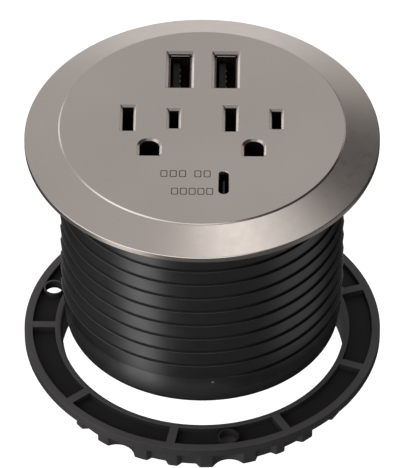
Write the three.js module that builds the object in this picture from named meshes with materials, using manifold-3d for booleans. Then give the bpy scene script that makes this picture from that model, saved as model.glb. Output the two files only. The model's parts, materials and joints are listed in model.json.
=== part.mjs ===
// A round in-desk power and USB charging unit, in millimetres with +Z up.
// The trim flange rests on the desk at z = 0, the threaded housing hangs through an 80 mm hole,
// and a ring nut screws up the housing from below to clamp the desk top.
import * as THREE from 'three';
import { mergeVertices } from 'three/addons/utils/BufferGeometryUtils.js';
import Module from 'manifold-3d';

const wasm = await Module();
wasm.setup();

// ---------------------------------------------------------------- driving dimensions
const GAP = 0.3;

const DISC_TOP = 5.7;
const DISC_RADIUS = 39.6;
const DISC_STEP = 0.4;
const DISC_THICKNESS = 1.2;
const FLANGE_RADIUS = 49.2;
const RIM_HEIGHT = 1.65;

const HOUSING_BOTTOM = -62.8;
const HOUSING_RADIUS = 38.6;
const HOUSING_BORE = 36.2;
const SHOULDER_RADIUS = 44.0;
const SHOULDER_BOTTOM = 0.9;
const SHOULDER_TOP = 1.9;

const THREAD_PITCH = 5.1;
const THREAD_CREST = 39.8;
const THREAD_ROOT = 38.95;
const THREAD_TOP = -2.4;
const THREAD_TOP_ANGLE = 270;
const THREAD_TURNS = 9.99;
const THREAD_GAP_HALF = 4;

const NUT_TOP = -70.3;
const NUT_FLANGE_BOTTOM = -73.0;
const NUT_BOTTOM = -82.8;
const NUT_BORE = 40.1;
const NUT_RADIUS = 50.4;
const NUT_COLLAR_RADIUS = 44.8;
const NUT_POCKET_INNER = 41.7;
const NUT_POCKET_OUTER = 48.06;
const NUT_POCKET_DEPTH = 1.9;
const NUT_RIBS = 9;
const NUT_BOSS_ANGLES = [40, 160, 280];

const OUTLET_X = 14.2;
const GROUND_X = 14.4;
const BLADE_OFFSET = 6.35;
const BLADE_Y = 3.35;
const GROUND_Y = -8.55;
const USB_A_X = 6.4;
const USB_A_Y = 23.6;
const USB_C_X = 6.2;
const USB_C_Y = -23.0;

const BLOCK_TOP = DISC_TOP - DISC_THICKNESS - GAP;
const BLOCK_BOTTOM = -9.6;
const CARRIER_TOP = BLOCK_BOTTOM - GAP;
const CARRIER_BOTTOM = -19.5;
const BUS_TOP = CARRIER_BOTTOM - GAP;
const BUS_THICKNESS = 0.8;
const BARRIER_TOP = -23.0;
const BOARD_TOP = -25.4;
const BOARD_THICKNESS = 1.6;
const PARTS_TOP = BOARD_TOP - BOARD_THICKNESS - GAP;
const COVER_TOP = -60.4;
const BOSS_ANGLES = [30, 150, 270];
const BOSS_RADIUS = 32.4;

const outlets = [-OUTLET_X, OUTLET_X];
const groundX = [-GROUND_X, GROUND_X];
const neutralX = outlets.map((x) => x - BLADE_OFFSET);
const lineX = outlets.map((x) => x + BLADE_OFFSET);

// ---------------------------------------------------------------- solid helpers
const radians = THREE.MathUtils.degToRad;

function polar(radius, degrees) {
  return [radius * Math.cos(radians(degrees)), radius * Math.sin(radians(degrees))];
}

// A closed three.js geometry as a manifold solid that faces outwards.
function solid(geometry) {
  const bare = geometry.index ? geometry.toNonIndexed() : geometry;
  bare.deleteAttribute('normal');
  bare.deleteAttribute('uv');
  const welded = mergeVertices(bare, 1e-4);
  const points = welded.attributes.position.array;
  const corner = (i) => new THREE.Vector3().fromArray(points, 3 * i);
  const triangles = [];
  let volume = 0;
  for (let i = 0; i < welded.index.count; i += 3) {
    const [a, b, c] = welded.index.array.slice(i, i + 3);
    if (a === b || b === c || c === a) continue;
    triangles.push([a, b, c]);
    volume += corner(a).dot(corner(b).cross(corner(c)));
  }
  const facing = volume < 0 ? triangles.map(([a, b, c]) => [a, c, b]) : triangles;
  const mesh = new wasm.Mesh({
    numProp: 3,
    vertProperties: new Float32Array(points),
    triVerts: new Uint32Array(facing.flat()),
  });
  return new wasm.Manifold(mesh);
}

function join(first, ...others) {
  return others.reduce((whole, other) => whole.add(other), first);
}

function cut(first, ...others) {
  return others.reduce((whole, other) => whole.subtract(other), first);
}

// A body of revolution about Z from [radius, z] points, closed on itself or on the axis.
function turned(profile, segments = 60) {
  const closed = profile[0][0] === 0 ? profile : [...profile, profile[0]];
  const points = closed.map(([radius, z]) => new THREE.Vector2(radius, z));
  return solid(new THREE.LatheGeometry(points, segments).rotateX(Math.PI / 2));
}

function ring(inner, outer, bottom, top, segments = 48) {
  return turned([[inner, bottom], [outer, bottom], [outer, top], [inner, top]], segments);
}

function rod(radius, bottom, top, x = 0, y = 0, segments = 20) {
  const geometry = new THREE.CylinderGeometry(radius, radius, top - bottom, segments);
  return solid(geometry.rotateX(Math.PI / 2).translate(x, y, (top + bottom) / 2));
}

function block(width, depth, bottom, top, x = 0, y = 0, turn = 0) {
  const geometry = new THREE.BoxGeometry(width, depth, top - bottom);
  geometry.translate(x, y, (top + bottom) / 2);
  return solid(geometry.rotateZ(radians(turn)));
}

function prism(shape, bottom, top, x = 0, y = 0, curveSegments = 5) {
  const options = { depth: top - bottom, bevelEnabled: false, curveSegments };
  return solid(new THREE.ExtrudeGeometry(shape, options).translate(x, y, bottom));
}

// A prism whose outline grows by `chamfer` up to the plane z = face and stays wide above it.
function flaredPrism(shape, face, chamfer, x, y) {
  const options = {
    depth: 1,
    bevelEnabled: true,
    bevelThickness: chamfer,
    bevelSize: chamfer,
    bevelSegments: 1,
    curveSegments: 5,
  };
  return solid(new THREE.ExtrudeGeometry(shape, options).translate(x, y, face));
}

function tube(points, radius, steps = 20) {
  const path = new THREE.CatmullRomCurve3(points.map((point) => new THREE.Vector3(...point)));
  const circle = new THREE.Shape().absarc(0, 0, radius, 0, 2 * Math.PI, false);
  const options = { steps, extrudePath: path, curveSegments: 4, bevelEnabled: false };
  return solid(new THREE.ExtrudeGeometry(circle, options));
}

function roundedRectangle(width, height, radius) {
  const x = width / 2 - radius;
  const y = height / 2 - radius;
  const shape = new THREE.Shape();
  shape.absarc(x, y, radius, 0, Math.PI / 2, false);
  shape.absarc(-x, y, radius, Math.PI / 2, Math.PI, false);
  shape.absarc(-x, -y, radius, Math.PI, 1.5 * Math.PI, false);
  shape.absarc(x, -y, radius, 1.5 * Math.PI, 2 * Math.PI, false);
  return shape;
}

// The ground hole: flat towards the front, round towards the blades.
function archShape(width, height) {
  const radius = width / 2;
  const shape = new THREE.Shape();
  shape.moveTo(-radius, -height / 2);
  shape.lineTo(radius, -height / 2);
  shape.absarc(0, height / 2 - radius, radius, 0, Math.PI, false);
  return shape;
}

// A helix that falls as it turns clockwise, which is right-handed. Its frames stay radial and
// vertical, so an extruded profile keeps x as its height above the root and y as its height.
class FallingHelix extends THREE.Curve {
  constructor(radius, startAngle, endAngle, startZ, pitch) {
    super();
    Object.assign(this, { radius, startAngle, endAngle, startZ, pitch });
  }

  getPoint(t) {
    const angle = this.startAngle + (this.endAngle - this.startAngle) * t;
    const z = this.startZ + (this.pitch * (angle - this.startAngle)) / 360;
    return new THREE.Vector3(...polar(this.radius, angle), z);
  }

  computeFrenetFrames(segments) {
    const frames = { tangents: [], normals: [], binormals: [] };
    for (let i = 0; i <= segments; i += 1) {
      const angle = this.startAngle + ((this.endAngle - this.startAngle) * i) / segments;
      frames.tangents.push(new THREE.Vector3(...polar(1, angle - 90), 0));
      frames.normals.push(new THREE.Vector3(...polar(1, angle), 0));
      frames.binormals.push(new THREE.Vector3(0, 0, 1));
    }
    return frames;
  }
}

function helicalRidge(profile, radius, startAngle, endAngle, startZ, stepAngle) {
  const shape = new THREE.Shape(profile.map(([x, y]) => new THREE.Vector2(x, y)));
  const path = new FallingHelix(radius, startAngle, endAngle, startZ, THREAD_PITCH);
  const steps = Math.ceil((startAngle - endAngle) / stepAngle);
  return solid(new THREE.ExtrudeGeometry(shape, { steps, extrudePath: path, bevelEnabled: false }));
}

// ---------------------------------------------------------------- materials
const finishes = {
  satin_metal: [0x9e9690, 0.38, 0.85],
  black_housing: [0x1c1c1d, 0.42, 0],
  black_insert: [0x141415, 0.5, 0],
  grey_tongue: [0x6b6b6d, 0.5, 0],
  black_nut: [0x262627, 0.5, 0],
  gasket_foam: [0x202020, 0.95, 0],
  brass: [0xb5903f, 0.35, 1],
  bright_steel: [0xb8bbc0, 0.3, 1],
  board_green: [0x1d5b3a, 0.6, 0],
  barrier_white: [0xd8d6cf, 0.7, 0],
  ferrite: [0x3a3b3e, 0.7, 0],
  winding_tape: [0xc7a63c, 0.5, 0],
  capacitor_sleeve: [0x23262d, 0.4, 0],
  chip_black: [0x17181a, 0.5, 0],
  aluminium: [0xa9adb0, 0.4, 1],
  fuse_glass: [0xcfd6d6, 0.1, 0],
  terminal_grey: [0x7e8286, 0.6, 0],
  lead_line: [0x1d1d1f, 0.5, 0],
  lead_neutral: [0xd9d9d6, 0.5, 0],
  lead_ground: [0x2f8a45, 0.5, 0],
  nylon_black: [0x18191b, 0.55, 0],
};

const group = new THREE.Group();

// The same piece at each of several places, as nodes name_1, name_2 and so on.
function parts(name, places, makePiece, finish) {
  places.forEach((place, index) => part(`${name}_${index + 1}`, makePiece(place), finish));
}

function part(name, body, finish) {
  const { vertProperties, triVerts } = body.getMesh();
  const geometry = new THREE.BufferGeometry();
  geometry.setAttribute('position', new THREE.BufferAttribute(vertProperties, 3));
  geometry.setIndex(new THREE.BufferAttribute(triVerts, 1));
  const faceted = geometry.toNonIndexed();
  faceted.computeVertexNormals();
  const [color, roughness, metalness] = finishes[finish];
  const material = new THREE.MeshStandardMaterial({ color, roughness, metalness });
  material.name = finish;
  const mesh = new THREE.Mesh(faceted, material);
  mesh.name = name;
  group.add(mesh);
}

// ---------------------------------------------------------------- openings in the face
// Each opening: outline at the bottom of its chamfer, chamfer size and centre.
const faceOpenings = [
  ...neutralX.map((x) => ({ shape: roundedRectangle(3.2, 9.9, 0.35), chamfer: 0.5, x, y: BLADE_Y })),
  ...lineX.map((x) => ({ shape: roundedRectangle(2.75, 7.5, 0.35), chamfer: 0.5, x, y: BLADE_Y })),
  ...groundX.map((x) => ({ shape: archShape(5.6, 6.4), chamfer: 0.5, x, y: GROUND_Y })),
  ...[-USB_A_X, USB_A_X].map((x) => (
    { shape: roundedRectangle(6.4, 14.2, 0.3), chamfer: 0.6, x, y: USB_A_Y })),
  { shape: roundedRectangle(2.8, 9.2, 1.39), chamfer: 0.25, x: USB_C_X, y: USB_C_Y },
];

// ---------------------------------------------------------------- trim and housing
function makeFacePlate() {
  const pocketTop = DISC_TOP - DISC_THICKNESS;
  const bevelTop = DISC_TOP - DISC_STEP;
  const plate = turned([
    [0, pocketTop],
    [38.0, pocketTop],
    [38.0, 2.2],
    [44.4, 2.2],
    [44.4, 0],
    [FLANGE_RADIUS - 0.2, 0],
    [FLANGE_RADIUS, 0.2],
    [FLANGE_RADIUS, RIM_HEIGHT],
    [FLANGE_RADIUS - 0.2, RIM_HEIGHT + 0.15],
    [DISC_RADIUS + 0.35, bevelTop],
    [DISC_RADIUS + 0.1, bevelTop],
    [DISC_RADIUS - 0.2, DISC_TOP],
    [0, DISC_TOP],
  ]);
  const cutters = faceOpenings.flatMap(({ shape, chamfer, x, y }) => [
    prism(shape, 3, DISC_TOP - chamfer / 2, x, y),
    flaredPrism(shape, DISC_TOP, chamfer, x, y),
  ]);
  return cut(plate, ...cutters);
}

// The thread pauses at both sides of the housing, so it is made as one piece per half turn.
function makeThread() {
  const profile = [[-0.7, -5.4], [THREAD_ROOT - HOUSING_RADIUS, -5.4]];
  profile.push([THREAD_ROOT - HOUSING_RADIUS, -5.1]);
  profile.push([THREAD_CREST - HOUSING_RADIUS, -0.2]);
  profile.push([THREAD_CREST - HOUSING_RADIUS - 0.15, 0], [-0.7, 0]);
  const lastAngle = THREAD_TOP_ANGLE - 360 * THREAD_TURNS;
  const pieces = [];
  for (let gapAngle = 360; gapAngle > lastAngle; gapAngle -= 180) {
    const from = Math.min(gapAngle - THREAD_GAP_HALF, THREAD_TOP_ANGLE);
    const to = Math.max(gapAngle - 180 + THREAD_GAP_HALF, lastAngle);
    if (from <= to) continue;
    const z = THREAD_TOP + (THREAD_PITCH * (from - THREAD_TOP_ANGLE)) / 360;
    pieces.push(helicalRidge(profile, HOUSING_RADIUS, from, to, z, 12));
  }
  return join(...pieces);
}

function makeHousing() {
  const sleeve = turned([
    [HOUSING_BORE, HOUSING_BOTTOM],
    [HOUSING_RADIUS - 0.4, HOUSING_BOTTOM],
    [HOUSING_RADIUS, HOUSING_BOTTOM + 0.4],
    [HOUSING_RADIUS, SHOULDER_BOTTOM],
    [SHOULDER_RADIUS, SHOULDER_BOTTOM],
    [SHOULDER_RADIUS, SHOULDER_TOP],
    [HOUSING_BORE, SHOULDER_TOP],
  ]);
  const bosses = BOSS_ANGLES.map((angle) => (
    block(4.6, 6, COVER_TOP + GAP, PARTS_TOP, BOSS_RADIUS + 2.0, 0, angle)));
  const posts = BOSS_ANGLES.map((angle) => (
    rod(3, COVER_TOP + GAP, PARTS_TOP, ...polar(BOSS_RADIUS, angle))));
  const bores = BOSS_ANGLES.map((angle) => (
    rod(1.5, COVER_TOP - 1, PARTS_TOP + 1, ...polar(BOSS_RADIUS, angle), 16)));
  return cut(join(sleeve, makeThread(), ...bosses, ...posts), ...bores);
}

function makeBottomCover() {
  const disc = turned([
    [0, HOUSING_BOTTOM],
    [HOUSING_BORE - 0.7, HOUSING_BOTTOM],
    [HOUSING_BORE - GAP, HOUSING_BOTTOM + 0.4],
    [HOUSING_BORE - GAP, COVER_TOP],
    [0, COVER_TOP],
  ]);
  const holes = BOSS_ANGLES.flatMap((angle) => {
    const [x, y] = polar(BOSS_RADIUS, angle);
    return [
      rod(1.7, HOUSING_BOTTOM - 1, COVER_TOP + 1, x, y),
      rod(2.8, HOUSING_BOTTOM - 1, HOUSING_BOTTOM + 1.5, x, y),
    ];
  });
  const glandHole = rod(7.3, HOUSING_BOTTOM - 1, COVER_TOP + 1, 0, 14, 24);
  return cut(disc, glandHole, ...holes);
}

// A pan head screw whose cross recess opens downwards.
function screwUp(x, y, headTop, shaftTop, headRadius, headHeight, shaftRadius) {
  const head = rod(headRadius, headTop - headHeight, headTop, x, y, 20);
  const shaft = rod(shaftRadius, headTop - 0.2, shaftTop, x, y, 12);
  const slot = [[0.5, headRadius * 1.3], [headRadius * 1.3, 0.5]].map(([width, depth]) => (
    block(width, depth, headTop - headHeight - 1, headTop - headHeight / 2, x, y)));
  return cut(join(head, shaft), ...slot);
}

function makeCoverScrew(angle) {
  return screwUp(...polar(BOSS_RADIUS, angle), HOUSING_BOTTOM + 1.3, -52, 2.5, 1.2, 1.2);
}

function makeBoardScrew(angle) {
  const [x, y] = polar(BOSS_RADIUS, angle);
  const head = rod(2.4, BOARD_TOP + GAP, BOARD_TOP + 1.2, x, y);
  return join(head, rod(1.1, -34, BOARD_TOP + 0.5, x, y, 12));
}

function makeFlangeGasket() {
  return ring(40.4, SHOULDER_RADIUS, 0.05, SHOULDER_BOTTOM - GAP);
}

part('face_plate', makeFacePlate(), 'satin_metal');
part('threaded_housing', makeHousing(), 'black_housing');
part('bottom_cover', makeBottomCover(), 'black_insert');
parts('cover_screw', BOSS_ANGLES, makeCoverScrew, 'bright_steel');
part('flange_gasket', makeFlangeGasket(), 'gasket_foam');

// ---------------------------------------------------------------- outlets
const OUTLET_SIZE = [16.8, 21.8];
const OUTLET_Y = -1.7;
const CARRIER_SCREWS = [[-25.3, -9.6], [25.3, -9.6], [-26.5, 9.5], [26.5, 9.5]];
const PLATE_SCREW_ANGLES = [40, 140, 270];

// The block that carries everything behind the face, with a window for each outlet.
function makeSocketBlock() {
  const body = rod(35.8, BLOCK_BOTTOM, BLOCK_TOP, 0, 0, 60);
  const [width, height] = OUTLET_SIZE.map((side) => side + 2 * GAP);
  const windows = [-OUTLET_X, OUTLET_X].map((x) => (
    block(width, height, BLOCK_BOTTOM - 1, BLOCK_TOP + 1, x, OUTLET_Y)));
  const usb = [-USB_A_X, USB_A_X].map((x) => (
    block(6.7, 14.5, BLOCK_BOTTOM - 1, BLOCK_TOP + 1, x, USB_A_Y)));
  const usbC = prism(roundedRectangle(4.1, 10.5, 2), BLOCK_BOTTOM - 1, BLOCK_TOP + 1, USB_C_X, USB_C_Y);
  const pilots = CARRIER_SCREWS.map(([x, y]) => rod(1.4, BLOCK_BOTTOM - 1, -2, x, y, 12));
  const screwWays = PLATE_SCREW_ANGLES.map((angle) => (
    rod(1.6, BLOCK_BOTTOM - 1, 3, ...polar(32.6, angle), 12)));
  return cut(body, ...windows, ...usb, usbC, ...pilots, ...screwWays);
}

// The insert that guides a plug's three pins. side is -1 for the left outlet and 1 for the right.
function makeOutletInsert(side) {
  const x = side * OUTLET_X;
  const body = block(...OUTLET_SIZE, BLOCK_BOTTOM, BLOCK_TOP, x, OUTLET_Y);
  const neutral = block(2.9, 9.6, BLOCK_BOTTOM - 1, BLOCK_TOP + 1, x - BLADE_OFFSET, BLADE_Y);
  const line = block(2.45, 7.2, BLOCK_BOTTOM - 1, BLOCK_TOP + 1, x + BLADE_OFFSET, BLADE_Y);
  const ground = prism(archShape(5.4, 6.2), BLOCK_BOTTOM - 1, BLOCK_TOP + 1, side * GROUND_X, GROUND_Y);
  return cut(body, neutral, line, ground);
}

function makeContactCarrier() {
  const body = prism(roundedRectangle(58, 27, 4), CARRIER_BOTTOM, CARRIER_TOP, 0, -1.5, 3);
  const bladeWells = [...neutralX, ...lineX].map((x) => (
    block(5.2, 10.6, CARRIER_BOTTOM - 1, CARRIER_TOP + 1, x, BLADE_Y)));
  const groundWells = groundX.map((x) => (
    rod(4.1, CARRIER_BOTTOM - 1, CARRIER_TOP + 1, x, GROUND_Y, 20)));
  const holes = CARRIER_SCREWS.map(([x, y]) => (
    rod(1.4, CARRIER_BOTTOM - 1, CARRIER_TOP + 1, x, y, 12)));
  return cut(body, ...bladeWells, ...groundWells, ...holes);
}

// A bus bar with a pair of spring leaves standing under each slot.
function makeBladeContact(slots, laneY) {
  const bottom = BUS_TOP - BUS_THICKNESS;
  const centre = (slots[0] + slots[1]) / 2;
  const bar = block(slots[1] - slots[0] + 5, 3.2, bottom, BUS_TOP, centre, laneY);
  const clips = slots.flatMap((x) => [
    block(3.6, Math.abs(BLADE_Y - laneY) + 4, bottom, BUS_TOP, x, (BLADE_Y + laneY) / 2),
    ...[-1, 1].map((side) => block(0.6, 6.4, bottom, CARRIER_TOP - 1.2, x + side * 1.5, BLADE_Y)),
    ...[-1, 1].map((side) => block(0.55, 6.4, -13.8, -12, x + side * 1.05, BLADE_Y)),
  ]);
  return join(bar, ...clips);
}

function makeGroundContact() {
  const bottom = BUS_TOP - BUS_THICKNESS;
  const bar = block(2 * GROUND_X + 9, 3.2, bottom, BUS_TOP, 0, GROUND_Y - 2.4);
  const pads = groundX.map((x) => rod(3.6, bottom, BUS_TOP, x, GROUND_Y, 20));
  const sleeves = groundX.map((x) => (
    cut(rod(3.5, bottom, CARRIER_TOP - 1.2, x, GROUND_Y, 20),
      rod(2.7, BUS_TOP, CARRIER_TOP, x, GROUND_Y, 20),
      block(1.2, 4, BUS_TOP, CARRIER_TOP, x, GROUND_Y + 3))));
  return join(bar, ...pads, ...sleeves);
}

function makeCarrierScrew([x, y]) {
  return screwUp(x, y, CARRIER_BOTTOM - GAP, -3, 2.2, 1.4, 1.1);
}

function makePlateScrew(angle) {
  return screwUp(...polar(32.6, angle), BLOCK_BOTTOM - GAP, 2.6, 2.4, 1.5, 1.25);
}

part('socket_block', makeSocketBlock(), 'black_insert');
part('outlet_insert_left', makeOutletInsert(-1), 'black_insert');
part('outlet_insert_right', makeOutletInsert(1), 'black_insert');
part('contact_carrier', makeContactCarrier(), 'barrier_white');
part('line_contact', makeBladeContact(lineX, 9.4), 'brass');
part('neutral_contact', makeBladeContact(neutralX, -2.6), 'brass');
part('ground_contact', makeGroundContact(), 'brass');
parts('carrier_screw', CARRIER_SCREWS, makeCarrierScrew, 'bright_steel');
parts('plate_screw', PLATE_SCREW_ANGLES, makePlateScrew, 'bright_steel');

// ---------------------------------------------------------------- USB ports
const SHELL_TOP = 4.1;
const SHELL_BOTTOM = -8.2;
const PORT_BOARD_TOP = -9.9;

function makeUsbAShell(x) {
  const outer = block(6.1, 13.7, SHELL_BOTTOM, SHELL_TOP, x, USB_A_Y);
  const mouth = block(5.5, 13.1, SHELL_BOTTOM + 0.4, SHELL_TOP + 1, x, USB_A_Y);
  return cut(outer, mouth, block(2.6, 11.8, SHELL_BOTTOM - 1, SHELL_TOP, x - 1.0, USB_A_Y));
}

function makeUsbATongue(x) {
  return block(1.8, 11.2, PORT_BOARD_TOP + GAP, 2.9, x - 1.0, USB_A_Y);
}

function makeUsbCShell() {
  const outer = prism(roundedRectangle(3.4, 9.8, 1.69), SHELL_BOTTOM, SHELL_TOP, USB_C_X, USB_C_Y);
  const mouth = prism(
    roundedRectangle(2.8, 9.2, 1.39), SHELL_BOTTOM + 0.4, SHELL_TOP + 1, USB_C_X, USB_C_Y);
  return cut(outer, mouth, block(1.4, 7.3, SHELL_BOTTOM - 1, SHELL_TOP, USB_C_X, USB_C_Y));
}

function makeUsbCTongue() {
  return block(0.7, 6.6, PORT_BOARD_TOP + GAP, 3.0, USB_C_X, USB_C_Y);
}

function makeUsbABoard() {
  const bottom = PORT_BOARD_TOP - 1.6;
  return prism(roundedRectangle(30, 15, 1.5), bottom, PORT_BOARD_TOP, 0, USB_A_Y - 0.2, 2);
}

function makeUsbCBoard() {
  const bottom = PORT_BOARD_TOP - 1.6;
  return prism(roundedRectangle(18, 12, 1.5), bottom, PORT_BOARD_TOP, USB_C_X - 3, USB_C_Y - 0.6, 2);
}

const sides = { left: -USB_A_X, right: USB_A_X };
for (const [side, x] of Object.entries(sides)) {
  part(`usb_a_shell_${side}`, makeUsbAShell(x), 'bright_steel');
  part(`usb_a_tongue_${side}`, makeUsbATongue(x), 'black_insert');
}
part('usb_c_shell', makeUsbCShell(), 'bright_steel');
part('usb_c_tongue', makeUsbCTongue(), 'grey_tongue');
part('usb_a_board', makeUsbABoard(), 'board_green');
part('usb_c_board', makeUsbCBoard(), 'board_green');

// ---------------------------------------------------------------- charger electronics
const LEAD_ANGLES = { line: 188, neutral: 196, ground: 204 };
const LEAD_RADIUS = 33.9;
const TERMINAL_X = -26.2;
const TERMINAL_Y = -1;
const TERMINAL_WAYS = { line: 7, neutral: 0, ground: -7 };

// The way up past the boards for the three internal leads.
function leadNotch(bottom, top, innerRadius) {
  return block(12, 17, bottom, top, innerRadius + 6, 0, LEAD_ANGLES.neutral);
}

function makeBarrier() {
  const bottom = BARRIER_TOP - 0.8;
  const sheet = rod(34.8, bottom, BARRIER_TOP, 0, 0, 48);
  const feet = [[0, 30], [26, -14], [-20, -24]].map(([x, y]) => (
    rod(2, BOARD_TOP + GAP, bottom + 0.1, x, y, 12)));
  return cut(join(sheet, ...feet), leadNotch(bottom - 3, BARRIER_TOP + 1, 28.5));
}

function makeChargerBoard() {
  const bottom = BOARD_TOP - BOARD_THICKNESS;
  const disc = rod(35.6, bottom, BOARD_TOP, 0, 0, 48);
  const holes = BOSS_ANGLES.map((angle) => (
    rod(1.4, bottom - 1, BOARD_TOP + 1, ...polar(BOSS_RADIUS, angle), 12)));
  return cut(disc, leadNotch(bottom - 1, BOARD_TOP + 1, 31.6), ...holes);
}

const CORE = { x: -9, y: 8, width: 24, depth: 11, height: 20 };

function makeTransformerCore() {
  const { x, y, width, depth, height } = CORE;
  const outer = block(width, depth, PARTS_TOP - height, PARTS_TOP, x, y);
  const windows = [-1, 1].map((side) => (
    block(5.4, depth + 2, PARTS_TOP - height + 3.4, PARTS_TOP - 3.4, x + side * 5.9, y)));
  return cut(outer, ...windows);
}

function makeTransformerWinding() {
  const { x, y, depth, height } = CORE;
  const bottom = PARTS_TOP - height + 3.4 + GAP;
  const top = PARTS_TOP - 3.4 - GAP;
  const outer = prism(roundedRectangle(16.4, depth + 7, 3), bottom, top, x, y);
  return cut(outer, block(7, depth + 0.6, bottom - 1, top + 1, x, y));
}

function standingCan(x, y, radius, height) {
  const bottom = PARTS_TOP - height;
  const can = [[0, bottom], [radius - 0.6, bottom], [radius, bottom + 0.6], [radius, PARTS_TOP - 3]];
  can.push([radius - 0.5, PARTS_TOP - 2.4], [radius, PARTS_TOP - 1.8], [radius, PARTS_TOP], [0, PARTS_TOP]);
  const body = turned(can, 20);
  return body.translate([x, y, 0]);
}

const BULK_CAPACITORS = [[13.5, 15], [20.5, 2.5]];
const OUTPUT_CAPACITORS = [[-2, 25.5], [-11, 24], [7, 27.5]];

function makeChoke() {
  const torus = solid(new THREE.TorusGeometry(6.4, 2.7, 10, 24));
  return torus.rotate([90, 0, 0]).translate([-6, -12, PARTS_TOP - 9.4]);
}

function makeChokeBase() {
  const base = block(17, 8, PARTS_TOP - 2.2, PARTS_TOP, -6, -12);
  return cut(base, solid(new THREE.TorusGeometry(6.4, 3.0, 10, 24))
    .rotate([90, 0, 0]).translate([-6, -12, PARTS_TOP - 9.4]));
}

function makeBridgeRectifier() {
  const body = block(15, 3.6, PARTS_TOP - 12, PARTS_TOP - 2.5, 12.5, -10.5);
  const legs = [-5.5, -2, 2, 5.5].map((offset) => (
    block(0.9, 0.7, PARTS_TOP - 3, PARTS_TOP, 12.5 + offset, -10.5)));
  return join(body, ...legs);
}

function makeHeatSink() {
  const base = block(16, 1.6, PARTS_TOP - 20, PARTS_TOP, 12.5, -15.3);
  const fins = [-7.4, -3.7, 0, 3.7, 7.4].map((offset) => (
    block(1.1, 7, PARTS_TOP - 20, PARTS_TOP, 12.5 + offset, -18.6)));
  return join(base, ...fins);
}

function makeFuseTube() {
  const body = new THREE.CylinderGeometry(2.2, 2.2, 13.4, 16).rotateZ(Math.PI / 2);
  return solid(body.translate(-16, -21.5, PARTS_TOP - 3.6));
}

function makeFuseCap(side) {
  const x = -16 + side * 7.4;
  const cap = new THREE.CylinderGeometry(2.9, 2.9, 4, 16).rotateZ(Math.PI / 2);
  const hollow = new THREE.CylinderGeometry(2.5, 2.5, 4, 16).rotateZ(Math.PI / 2);
  const foot = block(1.2, 2, PARTS_TOP - 1.5, PARTS_TOP, x + side * 1.2, -21.5);
  const whole = join(solid(cap.translate(x, -21.5, PARTS_TOP - 3.6)), foot);
  return cut(whole, solid(hollow.translate(x - side * 0.8, -21.5, PARTS_TOP - 3.6)));
}

function makeTerminalBlock() {
  const body = block(9, 22, PARTS_TOP - 12, PARTS_TOP, TERMINAL_X, TERMINAL_Y);
  const ways = Object.values(TERMINAL_WAYS).map((offset) => (
    block(5, 4, PARTS_TOP - 13, PARTS_TOP - 8.5, TERMINAL_X, TERMINAL_Y + offset)));
  return cut(body, ...ways);
}

// Out of its terminal, down and round, up past the boards and in under its bus bar.
function makeLead(name, viaX, viaY, endX, endY) {
  const [x, y] = polar(LEAD_RADIUS, LEAD_ANGLES[name]);
  const startY = TERMINAL_Y + TERMINAL_WAYS[name];
  return tube([
    [TERMINAL_X, startY, -36.4],
    [TERMINAL_X, startY, -40.5],
    [(TERMINAL_X + x) / 2, (startY + y) / 2, -44],
    [x, y, -40],
    [x, y, -31],
    [x, y, -25],
    [viaX, viaY, -22.05],
    [endX, endY, -22.05],
  ], 0.68);
}

part('insulating_barrier', makeBarrier(), 'barrier_white');
part('charger_board', makeChargerBoard(), 'board_green');
parts('board_screw', BOSS_ANGLES, makeBoardScrew, 'bright_steel');
part('controller_chip', block(7, 5, BOARD_TOP + GAP, BOARD_TOP + 1.3, 6, 4), 'chip_black');
part('transformer_core', makeTransformerCore(), 'ferrite');
part('transformer_winding', makeTransformerWinding(), 'winding_tape');
parts('bulk_capacitor', BULK_CAPACITORS, ([x, y]) => standingCan(x, y, 6.2, 22), 'capacitor_sleeve');
parts('output_capacitor', OUTPUT_CAPACITORS, ([x, y]) => standingCan(x, y, 3.9, 12), 'capacitor_sleeve');
part('filter_choke', makeChoke(), 'winding_tape');
part('choke_base', makeChokeBase(), 'chip_black');
part('bridge_rectifier', makeBridgeRectifier(), 'chip_black');
part('heat_sink', makeHeatSink(), 'aluminium');
part('fuse_tube', makeFuseTube(), 'fuse_glass');
parts('fuse_cap', [-1, 1], makeFuseCap, 'bright_steel');
part('terminal_block', makeTerminalBlock(), 'terminal_grey');
part('line_lead', makeLead('line', -29.6, -1.5, -23, 9.4), 'lead_line');
part('neutral_lead', makeLead('neutral', -28.6, -7, -23, -2.6), 'lead_neutral');
part('ground_lead', makeLead('ground', -27.5, -14.6, -19.5, GROUND_Y - 2.4), 'lead_ground');

// ---------------------------------------------------------------- supply inlet
const GLAND_Y = 14;

function hexagon(acrossFlats, bottom, top) {
  return rod(acrossFlats / Math.sqrt(3), bottom, top, 0, GLAND_Y, 6);
}

function makeCordGland() {
  const flange = hexagon(18, -66.1, HOUSING_BOTTOM - GAP);
  const dome = turned([[0, -68.6], [6.2, -68.6], [7.4, -67.4], [7.4, -65], [0, -65]], 24)
    .translate([0, GLAND_Y, 0]);
  const stem = rod(6.9, -65, -54.6, 0, GLAND_Y, 24);
  return cut(join(flange, dome, stem), rod(3.9, -70, -50, 0, GLAND_Y, 24));
}

function makeGlandLocknut() {
  return cut(hexagon(17, -59.9, -56.6), rod(7.2, -61, -55, 0, GLAND_Y, 24));
}

part('cord_gland', makeCordGland(), 'nylon_black');
part('gland_locknut', makeGlandLocknut(), 'nylon_black');

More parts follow.
